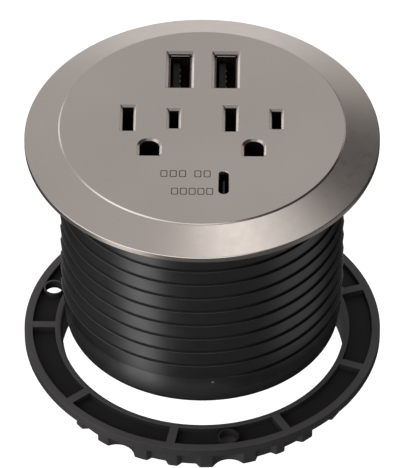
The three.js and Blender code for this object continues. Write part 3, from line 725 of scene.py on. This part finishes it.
def make_bottom_cover():
    """The disc that closes the housing, with its three screw wells and the cord gland's hole."""
    low, high = box_of("bottom_cover")
    radius = high.x
    bm = bmesh.new()
    add_lathe(bm, [
        (0, low.z), (23.6, low.z), (24.0, low.z + 0.35), (25.4, low.z + 0.35), (25.8, low.z),
        (radius - 0.6, low.z), (radius - 0.18, low.z + 0.12), (radius, low.z + 0.5),
        (radius, high.z - 0.3), (radius - 0.3, high.z), (0, high.z)], 192)
    cover = piece_from(bm, "cover_disc", sharp=30)
    wells = [polar(COVER_SCREW_RADIUS, angle) for angle in COVER_SCREW_ANGLES]
    hole = [(0, GLAND_Y)]
    for tool, places, size, bottom, top in (
            ("wells", wells, 2.9, low.z - 1, low.z + 1.5),
            ("ways", wells, 1.7, low.z - 1, high.z + 1),
            ("gland_way", hole, 7.3, low.z - 1, high.z + 1)):
        boolean(cover, make_cylinders(tool, places, size, bottom, top, "unit"), "DIFFERENCE")
    soften(cover, 0.15, 50)
    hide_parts("bottom_cover")
    return cover


def make_cover_screw(index):
    """A pan head with a cross recess, facing down out of its well."""
    node = f"cover_screw_{index + 1}"
    low, high = box_of(node)
    centre = (low + high) / 2
    bm = bmesh.new()
    length = high.z - low.z
    profile = [
        (0, 0), (1.5, 0.03), (2.15, 0.2), (2.45, 0.6), (2.5, 0.95), (2.42, 1.2),
        (1.15, 1.22), (1.15, length - 0.4), (0.85, length), (0, length),
    ]
    add_lathe(bm, [(radius, low.z + up) for radius, up in profile], 48)
    bmesh.ops.translate(bm, vec=(centre.x, centre.y, 0), verts=bm.verts)
    screw = piece_from(bm, f"cover_screw_head_{index + 1}", sharp=35)
    cross = bmesh.new()
    corners = ((1.45, -10.7), (1.45, 10.7), (0.39, 45))
    outline = [polar(reach, arm + turn) for arm in (20, 110, 200, 290) for reach, turn in corners]
    made = add_grid(cross, [
        [(centre.x + x, centre.y + y, z) for x, y in outline]
        for z in (low.z - 0.7, low.z + 0.7)
    ])
    close_ends(cross, made)
    boolean(screw, piece_from(cross, "cross"), "DIFFERENCE")
    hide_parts(node)
    return screw


def make_gland_dome(low, high):
    """The fluted cap of the gland, open through its middle."""
    dome = bmesh.new()
    profile = (
        (3.9, high.z, 0), (3.9, low.z + 0.3, 0), (4.2, low.z, 0), (5.6, low.z, 0),
        (6.4, low.z + 0.25, 0.3), (7.2, low.z + 0.95, 1), (7.4, low.z + 1.6, 1),
        (7.4, GLAND_CAP_TOP, 1), (6.85, GLAND_CAP_TOP, 0), (6.85, high.z, 0),
    )
    flutes, depth = 18, 0.28
    rows = []
    for radius, z, share in profile:
        row = []
        for angle in range(0, 360, 4):
            wave = 0.5 + 0.5 * cos(radians(angle * flutes))
            x, y = polar(radius - depth * share * wave, angle)
            row.append((x, y + GLAND_Y, z))
        rows.append(row)
    add_grid(dome, rows + [rows[0]])
    return piece_from(dome, "dome", sharp=30)


def make_cord_gland():
    """A hexagon against the cover and a fluted dome cap round the cord's way in."""
    low, high = box_of("cord_gland")
    hexagon_top = HOUSING_BOTTOM - 0.3
    radius = (high.x - low.x) / 2
    bm = bmesh.new()
    made = bmesh.ops.create_cone(
        bm, cap_ends=True, segments=6, radius1=radius, radius2=radius,
        depth=hexagon_top - GLAND_HEXAGON_BOTTOM)
    turn = Matrix.Rotation(radians(30), 3, "Z")
    bmesh.ops.rotate(bm, verts=made["verts"], cent=(0, 0, 0), matrix=turn)
    middle = (hexagon_top + GLAND_HEXAGON_BOTTOM) / 2
    bmesh.ops.translate(bm, vec=(0, GLAND_Y, middle), verts=made["verts"])
    gland = piece_from(bm, "gland_body", sharp=30)
    hole = make_cylinders("gland_bore", [(0, GLAND_Y)], 5.0, -66.6, HOUSING_BOTTOM, "unit")
    boolean(gland, hole, "DIFFERENCE")
    soften(gland, 0.2, 40)
    boolean(gland, make_gland_dome(low, high), "UNION")
    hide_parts("cord_gland")
    return gland


def make_face_marks():
    """Two rows of plain open boxes where the face carries print."""
    bm = bmesh.new()
    width, height, corner, stroke = 1.9, 2.7, 0.45, 0.24
    places = [(-4.24 + 3.0 * (i - 2), -19.55) for i in (0, 0.85, 1.7, 3.1, 3.95)]
    places += [(-2.42 + 2.4 * (i - 2), -26.65) for i in (0, 1, 2, 3, 4)]
    for x, y in places:
        rows = []
        for grow, z in ((0.0, 0.005), (0.0, 0.02), (-stroke, 0.02), (-stroke, 0.005)):
            outline = rounded_rectangle(width, height, corner, grow=grow)
            rows.append([(x + px, y + py, DISC_TOP + z) for px, py in outline])
        rows.append(rows[0])
        add_grid(bm, rows)
    marks = piece_from(bm, "face_marks", sharp=40)
    return marks


def make_moulding_mark():
    """A small pip left by the mould on the plain band, close to the front."""
    bm = bmesh.new()
    x, y = polar(HOUSING_RADIUS + 0.02, 275)
    height = -55.4
    rows = []
    for radius, out in ((0.45, -0.1), (0.45, 0.03), (0.38, 0.08), (0.10, 0.08)):
        circle = [polar(radius, angle) for angle in range(0, 360, 15)]
        rows.append([(x + across, y - out, height + up) for across, up in circle])
    made = add_grid(bm, rows)
    close_ends(bm, made)
    mark = piece_from(bm, "moulding_mark", sharp=40)
    return mark


# ------------------------------------------------------------------ materials
def linear(*levels):
    """Screen levels 0 to 255 as the linear colour that they stand for."""
    return tuple((level / 255) ** 2.2 for level in levels) + (1.0,)


class Material:
    """A node material with short calls for the nodes it needs."""

    def __init__(self, name):
        self.material = bpy.data.materials.new(name)
        self.material.use_nodes = True
        self.tree = self.material.node_tree
        self.shader = self.tree.nodes["Principled BSDF"]
        self.place = self.node("ShaderNodeTexCoord").outputs["Object"]

    def node(self, kind, **settings):
        made = self.tree.nodes.new(kind)
        for name, value in settings.items():
            setattr(made, name, value)
        return made

    def link(self, source, target):
        self.tree.links.new(source, target)

    def set(self, **values):
        for name, value in values.items():
            self.shader.inputs[name.replace("_", " ")].default_value = value
        return self

    def noise(self, scale, detail=3.0, roughness=0.5, stretch=None):
        made = self.node("ShaderNodeTexNoise")
        made.inputs["Scale"].default_value = scale
        made.inputs["Detail"].default_value = detail
        made.inputs["Roughness"].default_value = roughness
        source = self.place
        if stretch:
            mapping = self.node("ShaderNodeMapping")
            mapping.inputs["Scale"].default_value = stretch
            self.link(self.place, mapping.inputs["Vector"])
            source = mapping.outputs["Vector"]
        self.link(source, made.inputs["Vector"])
        return made.outputs["Fac"]

    def between(self, factor, low, high, start=0.3, end=0.7):
        """Maps a factor from start..end onto low..high."""
        made = self.node("ShaderNodeMapRange")
        made.inputs["From Min"].default_value = start
        made.inputs["From Max"].default_value = end
        made.inputs["To Min"].default_value = low
        made.inputs["To Max"].default_value = high
        self.link(factor, made.inputs["Value"])
        return made.outputs["Result"]

    def tint(self, factor, dark, light):
        made = self.node("ShaderNodeValToRGB")
        made.color_ramp.elements[0].position = 0.3
        made.color_ramp.elements[0].color = dark
        made.color_ramp.elements[1].position = 0.7
        made.color_ramp.elements[1].color = light
        self.link(factor, made.inputs["Fac"])
        self.link(made.outputs["Color"], self.shader.inputs["Base Color"])
        return self

    def seen_from_above(self):
        """Makes the back of the surface clear, so that the part can be looked at through it."""
        back = self.node("ShaderNodeNewGeometry").outputs["Backfacing"]
        clear = self.node("ShaderNodeBsdfTransparent")
        both = self.node("ShaderNodeMixShader")
        self.link(back, both.inputs[0])
        self.link(self.shader.outputs[0], both.inputs[1])
        self.link(clear.outputs[0], both.inputs[2])
        output = [node for node in self.tree.nodes if node.type == "OUTPUT_MATERIAL"][0]
        self.link(both.outputs[0], output.inputs[0])
        return self

    def rough(self, factor, low, high):
        self.link(self.between(factor, low, high), self.shader.inputs["Roughness"])
        return self

    def bump(self, factor, height, strength=1.0):
        made = self.node("ShaderNodeBump")
        made.inputs["Distance"].default_value = height * MM
        made.inputs["Strength"].default_value = strength
        self.link(factor, made.inputs["Height"])
        self.link(made.outputs["Normal"], self.shader.inputs["Normal"])
        return self


def satin_metal():
    """Bead-blasted, warm nickel-coloured trim."""
    m = Material("satin_metal").set(Metallic=1.0)
    m.tint(m.noise(28, 2), linear(193, 183, 176), linear(199, 189, 182))
    m.rough(m.noise(420, 2), 0.27, 0.30)
    return m.material


def moulded(name, dark, light, low, high, grain=2600, height=0.004, specular=0.35, ior=1.5):
    """A moulded plastic: slight mottling, fine spark-eroded grain and uneven gloss."""
    m = Material(name).set(Specular_IOR_Level=specular, IOR=ior)
    m.tint(m.noise(60, 3), linear(*dark), linear(*light))
    m.rough(m.noise(240, 3), low, high)
    return m.bump(m.noise(grain, 3), height).material


def housing_black():
    """Glossy black on the thread and a little greyer on the plain band below it, painted light."""
    band_bottom, band_top = -0.0580, -0.0535
    m = Material("black_housing").set(Specular_IOR_Level=1.0, IOR=1.65)
    height = m.node("ShaderNodeSeparateXYZ")
    m.link(m.place, height.inputs[0])
    # painted light: below band_bottom the housing is tinted lighter, standing in for the brighter
    # light the plain band shows, with slight random mottling
    band = m.between(height.outputs["Z"], 1.0, 0.0, band_bottom, band_top)
    painted_band_and_mottle = m.node("ShaderNodeMath", operation="MULTIPLY")
    m.link(band, painted_band_and_mottle.inputs[0])
    m.link(m.between(m.noise(60, 3), 0.8, 1.0), painted_band_and_mottle.inputs[1])
    m.tint(painted_band_and_mottle.outputs[0], linear(11, 10, 10), linear(36, 35, 35))
    m.rough(m.noise(240, 3), 0.27, 0.33)
    return m.material


def metal(name, dark, light, low, high, stretch=None):
    """Bare metal with slight mottling and uneven gloss, drawn out along an axis by stretch."""
    m = Material(name).set(Metallic=1.0)
    m.tint(m.noise(180, 3, stretch=stretch), linear(*dark), linear(*light))
    m.rough(m.noise(500, 3, stretch=stretch), low, high)
    return m.bump(m.noise(1500, 2, stretch=stretch), 0.003).material


def board_green():
    """Solder mask with faint copper tracks under it."""
    m = Material("board_green").set(Specular_IOR_Level=0.5)
    tracks = m.node("ShaderNodeTexBrick")
    tracks.inputs["Scale"].default_value = 120
    tracks.inputs["Color1"].default_value = linear(22, 88, 52)
    tracks.inputs["Color2"].default_value = linear(26, 98, 58)
    tracks.inputs["Mortar"].default_value = linear(58, 130, 78)
    m.link(m.place, tracks.inputs["Vector"])
    m.link(tracks.outputs["Color"], m.shader.inputs["Base Color"])
    m.rough(m.noise(300), 0.3, 0.45)
    return m.bump(m.noise(900, 2), 0.01).material


def fuse_glass():
    """Clear, faintly grey tube glass."""
    m = Material("fuse_glass").set(Transmission_Weight=0.9, IOR=1.45)
    m.tint(m.noise(80), linear(225, 232, 232), linear(238, 242, 242))
    return m.rough(m.noise(200), 0.03, 0.08).material


MATERIALS = {
    "satin_metal": satin_metal(),
    "black_housing": housing_black(),
    "black_cover": moulded("black_cover", (44, 43, 43), (52, 51, 51), 0.45, 0.6, specular=0.4),
    "black_insert": moulded("black_insert", (16, 15, 15), (21, 20, 20), 0.45, 0.6, specular=0.25),
    "black_nut": moulded("black_nut", (88, 86, 86), (95, 93, 93), 0.55, 0.65, 1800, 0.003, 0.12),
    # painted shade: a darker copy of the nut's black for its pocket floors and walls
    "black_nut_painted_shade_pocket": moulded(
        "black_nut_painted_shade_pocket", (50, 49, 49), (56, 55, 55), 0.6, 0.7, 1800, 0.004, 0.06),
    "black_mark": moulded(
        "black_mark", (104, 102, 102), (110, 108, 108), 0.5, 0.6, 1800, 0.003, 0.2),
    # painted shade: a darker copy of the nut's black for the grip's sides and underside
    "black_nut_painted_shade_side": moulded(
        "black_nut_painted_shade_side", (56, 55, 55), (64, 62, 62), 0.5, 0.6, 1800, 0.003, 0.25),
    "face_marks": moulded("face_marks", (58, 54, 53), (66, 62, 61), 0.5, 0.6),
    "contact_gold": metal("contact_gold", (112, 106, 46), (132, 124, 60), 0.25, 0.4),
    "grey_tongue": moulded("grey_tongue", (52, 52, 53), (60, 60, 61), 0.5, 0.65),
    "gasket_foam": moulded("gasket_foam", (26, 26, 26), (36, 36, 36), 0.85, 0.98, 900, 0.06, 0.2),
    "barrier_white": moulded("barrier_white", (205, 203, 196), (220, 218, 212), 0.6, 0.75),
    "ferrite": moulded("ferrite", (48, 49, 52), (66, 67, 70), 0.6, 0.8, 1200, 0.02),
    "winding_tape": moulded("winding_tape", (186, 152, 48), (208, 174, 66), 0.3, 0.45),
    "capacitor_sleeve": moulded("capacitor_sleeve", (30, 33, 40), (40, 44, 52), 0.25, 0.4),
    "chip_black": moulded("chip_black", (22, 23, 25), (32, 33, 36), 0.45, 0.6, 2400, 0.008),
    "terminal_grey": moulded("terminal_grey", (118, 122, 126), (132, 136, 140), 0.45, 0.6),
    "lead_line": moulded("lead_line", (24, 24, 26), (34, 34, 36), 0.35, 0.5),
    "lead_neutral": moulded("lead_neutral", (208, 208, 205), (222, 222, 219), 0.35, 0.5),
    "lead_ground": moulded("lead_ground", (38, 122, 62), (52, 142, 76), 0.35, 0.5),
    "nylon_black": moulded("nylon_black", (24, 25, 27), (33, 34, 36), 0.4, 0.55, 1500, 0.008),
    "lip_steel": metal("lip_steel", (156, 150, 148), (168, 162, 160), 0.3, 0.42),
    # painted shade: a darker, browner copy of steel for the port shells, whose insides lie in shade
    "port_steel_painted_shade": metal("port_steel_painted_shade", (112, 98, 92), (124, 110, 104), 0.28, 0.4),
    "brass": metal("brass", (196, 156, 78), (214, 176, 96), 0.25, 0.4),
    "bright_steel": metal("bright_steel", (176, 178, 182), (204, 206, 210), 0.22, 0.38),
    "aluminium": metal("aluminium", (176, 180, 184), (198, 202, 206), 0.3, 0.45, (1, 1, 12)),
    "board_green": board_green(),
    "fuse_glass": fuse_glass(),
}


def paint(obj, slot):
    """Gives a whole piece one material."""
    obj.data.materials.clear()
    obj.data.materials.append(MATERIALS[slot])


def paint_cad_nodes():
    """Each CAD node takes its record's slot material; the port shells take a darker steel, painted
    shade.
    """
    for entry in frame["record"]["subparts"]:
        obj = frame["nodes"][entry["node"]]
        # the port shells take the darker steel: painted shade inside the ports
        name = "port_steel_painted_shade" if "shell" in entry["node"] else entry["material_slot"]
        for material_slot in obj.material_slots:
            material_slot.material = MATERIALS[name]


# ------------------------------------------------------------------ light levels
BASE_LEVEL = 0.62
FRONT_SHARE = 0.55
SIDE_LEVEL = 0.05
LOW_LEVEL = 0.125
# The direction of each soft panel, the angles of its dim and full edges, and its level.
PANELS = [
    ((0.22, 0.17, 0.96), 20, 5, 0.50),
    ((0, 1, -0.02), 21, 2, 0.52),
    ((-0.68, 0.73, -0.03), 19, 6, 1.5),
    ((0.67, 0.73, 0.05), 18, 9, 0.80),
    ((-0.80, -0.58, 0.15), 45, 18, 1.5),
    ((0.05, -0.97, 0.22), 28, 10, 1.5),
    ((-0.571, -0.462, -0.679), 17, 5, 1.15),
    ((-0.461, -0.226, -0.858), 13, 4, 0.45),
    ((0.70, 0.04, -0.71), 24, 8, 0.14),
]


# ------------------------------------------------------------------ studio
FLOOR_HEIGHT = -0.55
FLOOR_REACH = 6


def make_floor():
    """A pale floor well below the part, which only the camera sees."""
    bm = bmesh.new()
    bmesh.ops.create_grid(bm, x_segments=1, y_segments=1, size=FLOOR_REACH)
    mesh = bpy.data.meshes.new("floor")
    bm.to_mesh(mesh)
    bm.free()
    floor = bpy.data.objects.new("floor", mesh)
    floor.location.z = FLOOR_HEIGHT
    for kind in ("diffuse", "glossy", "transmission", "volume_scatter", "shadow"):
        setattr(floor, "visible_" + kind, False)
    bpy.context.scene.collection.objects.link(floor)
    m = Material("floor_white").set(Specular_IOR_Level=0.0, Roughness=1.0, Emission_Strength=0.6)
    m.shader.inputs["Emission Color"].default_value = (1, 1, 1, 1)
    m.tint(m.noise(1.5, 2), linear(248, 248, 248), linear(252, 252, 252))
    m.seen_from_above()
    mesh.materials.append(m.material)


class Studio:
    """A soft studio as a world: broad panels of light, each given by its direction."""

    def __init__(self, name):
        self.world = bpy.data.worlds.new(name)
        self.world.use_nodes = True
        self.tree = self.world.node_tree
        self.background = self.tree.nodes["Background"]
        self.direction = self.tree.nodes.new("ShaderNodeTexCoord").outputs["Generated"]
        self.level = None

    def towards(self, axis):
        """How far a direction points along an axis, from -1 to 1."""
        made = self.tree.nodes.new("ShaderNodeVectorMath")
        made.operation = "DOT_PRODUCT"
        made.inputs[1].default_value = Vector(axis).normalized()
        self.tree.links.new(self.direction, made.inputs[0])
        return made.outputs["Value"]

    def ramp(self, source, start, end, low, high):
        """Maps start..end smoothly onto low..high."""
        made = self.tree.nodes.new("ShaderNodeMapRange")
        made.interpolation_type = "SMOOTHSTEP"
        made.inputs["From Min"].default_value = start
        made.inputs["From Max"].default_value = end
        made.inputs["To Min"].default_value = low
        made.inputs["To Max"].default_value = high
        self.tree.links.new(source, made.inputs["Value"])
        return made.outputs["Result"]

    def combine(self, operation, a, b):
        """One math node; each value is a number or another node's output."""
        made = self.tree.nodes.new("ShaderNodeMath")
        made.operation = operation
        for source, target in ((a, made.inputs[0]), (b, made.inputs[1])):
            if isinstance(source, float):
                target.default_value = source
            else:
                self.tree.links.new(source, target)
        return made.outputs["Value"]

    def panel(self, axis, outer, inner, level):
        """Adds a round soft light of the given angles from its axis to its dim and full edges."""
        light = self.ramp(self.towards(axis), cos(radians(outer)), cos(radians(inner)), 0.0, level)
        self.level = self.combine("ADD", self.level, light)

    def finish(self):
        """The part sees the panels; the camera, where it looks past the floor, sees plain white."""
        seen = self.tree.nodes.new("ShaderNodeLightPath").outputs["Is Camera Ray"]
        level = self.tree.nodes.new("ShaderNodeMix")
        self.tree.links.new(seen, level.inputs["Factor"])
        self.tree.links.new(self.level, level.inputs["A"])
        level.inputs["B"].default_value = 1.0
        self.tree.links.new(level.outputs["Result"], self.background.inputs["Strength"])
        self.background.inputs["Color"].default_value = (1, 1, 1, 1)
        bpy.context.scene.world = self.world


def add_light(name, azimuth, elevation, distance, width, height, power):
    """A soft box at an azimuth round the part (0 is the camera's side, 90 the right)."""
    a, e = radians(azimuth), radians(elevation)
    place = Vector((sin(a) * cos(e), -cos(a) * cos(e), sin(e))) * distance
    data = bpy.data.lights.new(name, "AREA")
    data.shape = "RECTANGLE"
    data.size = width
    data.size_y = height
    data.energy = power
    light = bpy.data.objects.new(name, data)
    light.location = place
    light.rotation_euler = (-place).to_track_quat("-Z", "Y").to_euler()
    bpy.context.scene.collection.objects.link(light)


def make_studio():
    """Base light from above and behind, a dim glow from below, the panels and the floor."""
    scene = bpy.context.scene
    scene.view_settings.view_transform = "Standard"
    studio = Studio("studio")
    up = studio.ramp(studio.towards((0, 0, 1)), -0.20, 0.02, 0.0, BASE_LEVEL - SIDE_LEVEL)
    front = studio.ramp(studio.towards((0, 1, 0)), -0.22, 0.02, FRONT_SHARE, 1.0)
    flag = studio.ramp(studio.towards((1, 0, 0)), 0.33, 0.46, 1.0, 0.0)
    upper = studio.combine("MULTIPLY", studio.combine("MULTIPLY", up, front), flag)
    floor_glow = studio.ramp(studio.towards((0, 0, 1)), -0.55, -0.10, LOW_LEVEL, SIDE_LEVEL)
    nadir = studio.ramp(studio.towards((0, 0, 1)), -0.90, -0.70, 0.55, 1.0)
    fade = studio.ramp(studio.towards((0, 1, 0)), 0.0, 0.70, 1.0, 0.12)
    lower = studio.combine("MULTIPLY", studio.combine("MULTIPLY", floor_glow, nadir), fade)
    studio.level = studio.combine("ADD", upper, lower)
    for panel in PANELS:
        studio.panel(*panel)
    studio.finish()
    make_floor()
    add_light(
        "overhead_box", azimuth=140, elevation=80, distance=1.3, width=0.3, height=0.3, power=0.3)


make_camera()
trim = make_face_trim()
housing = make_housing()
nut = make_clamp_nut()
paint(trim, "satin_metal")
paint(housing, "black_housing")
paint_nut(nut)
for side, x in (("left", -USB_A_X), ("right", USB_A_X)):
    paint(make_usb_a_contacts(side), "contact_gold")
    paint(make_usb_a_lip(side, x), "lip_steel")
paint(make_usb_c_tongue(), "grey_tongue")
paint(make_face_marks(), "face_marks")
paint(make_moulding_mark(), "black_mark")
paint(make_bottom_cover(), "black_cover")
for index in range(len(COVER_SCREW_ANGLES)):
    paint(make_cover_screw(index), "bright_steel")
paint(make_cord_gland(), "nylon_black")
paint_cad_nodes()
make_studio()
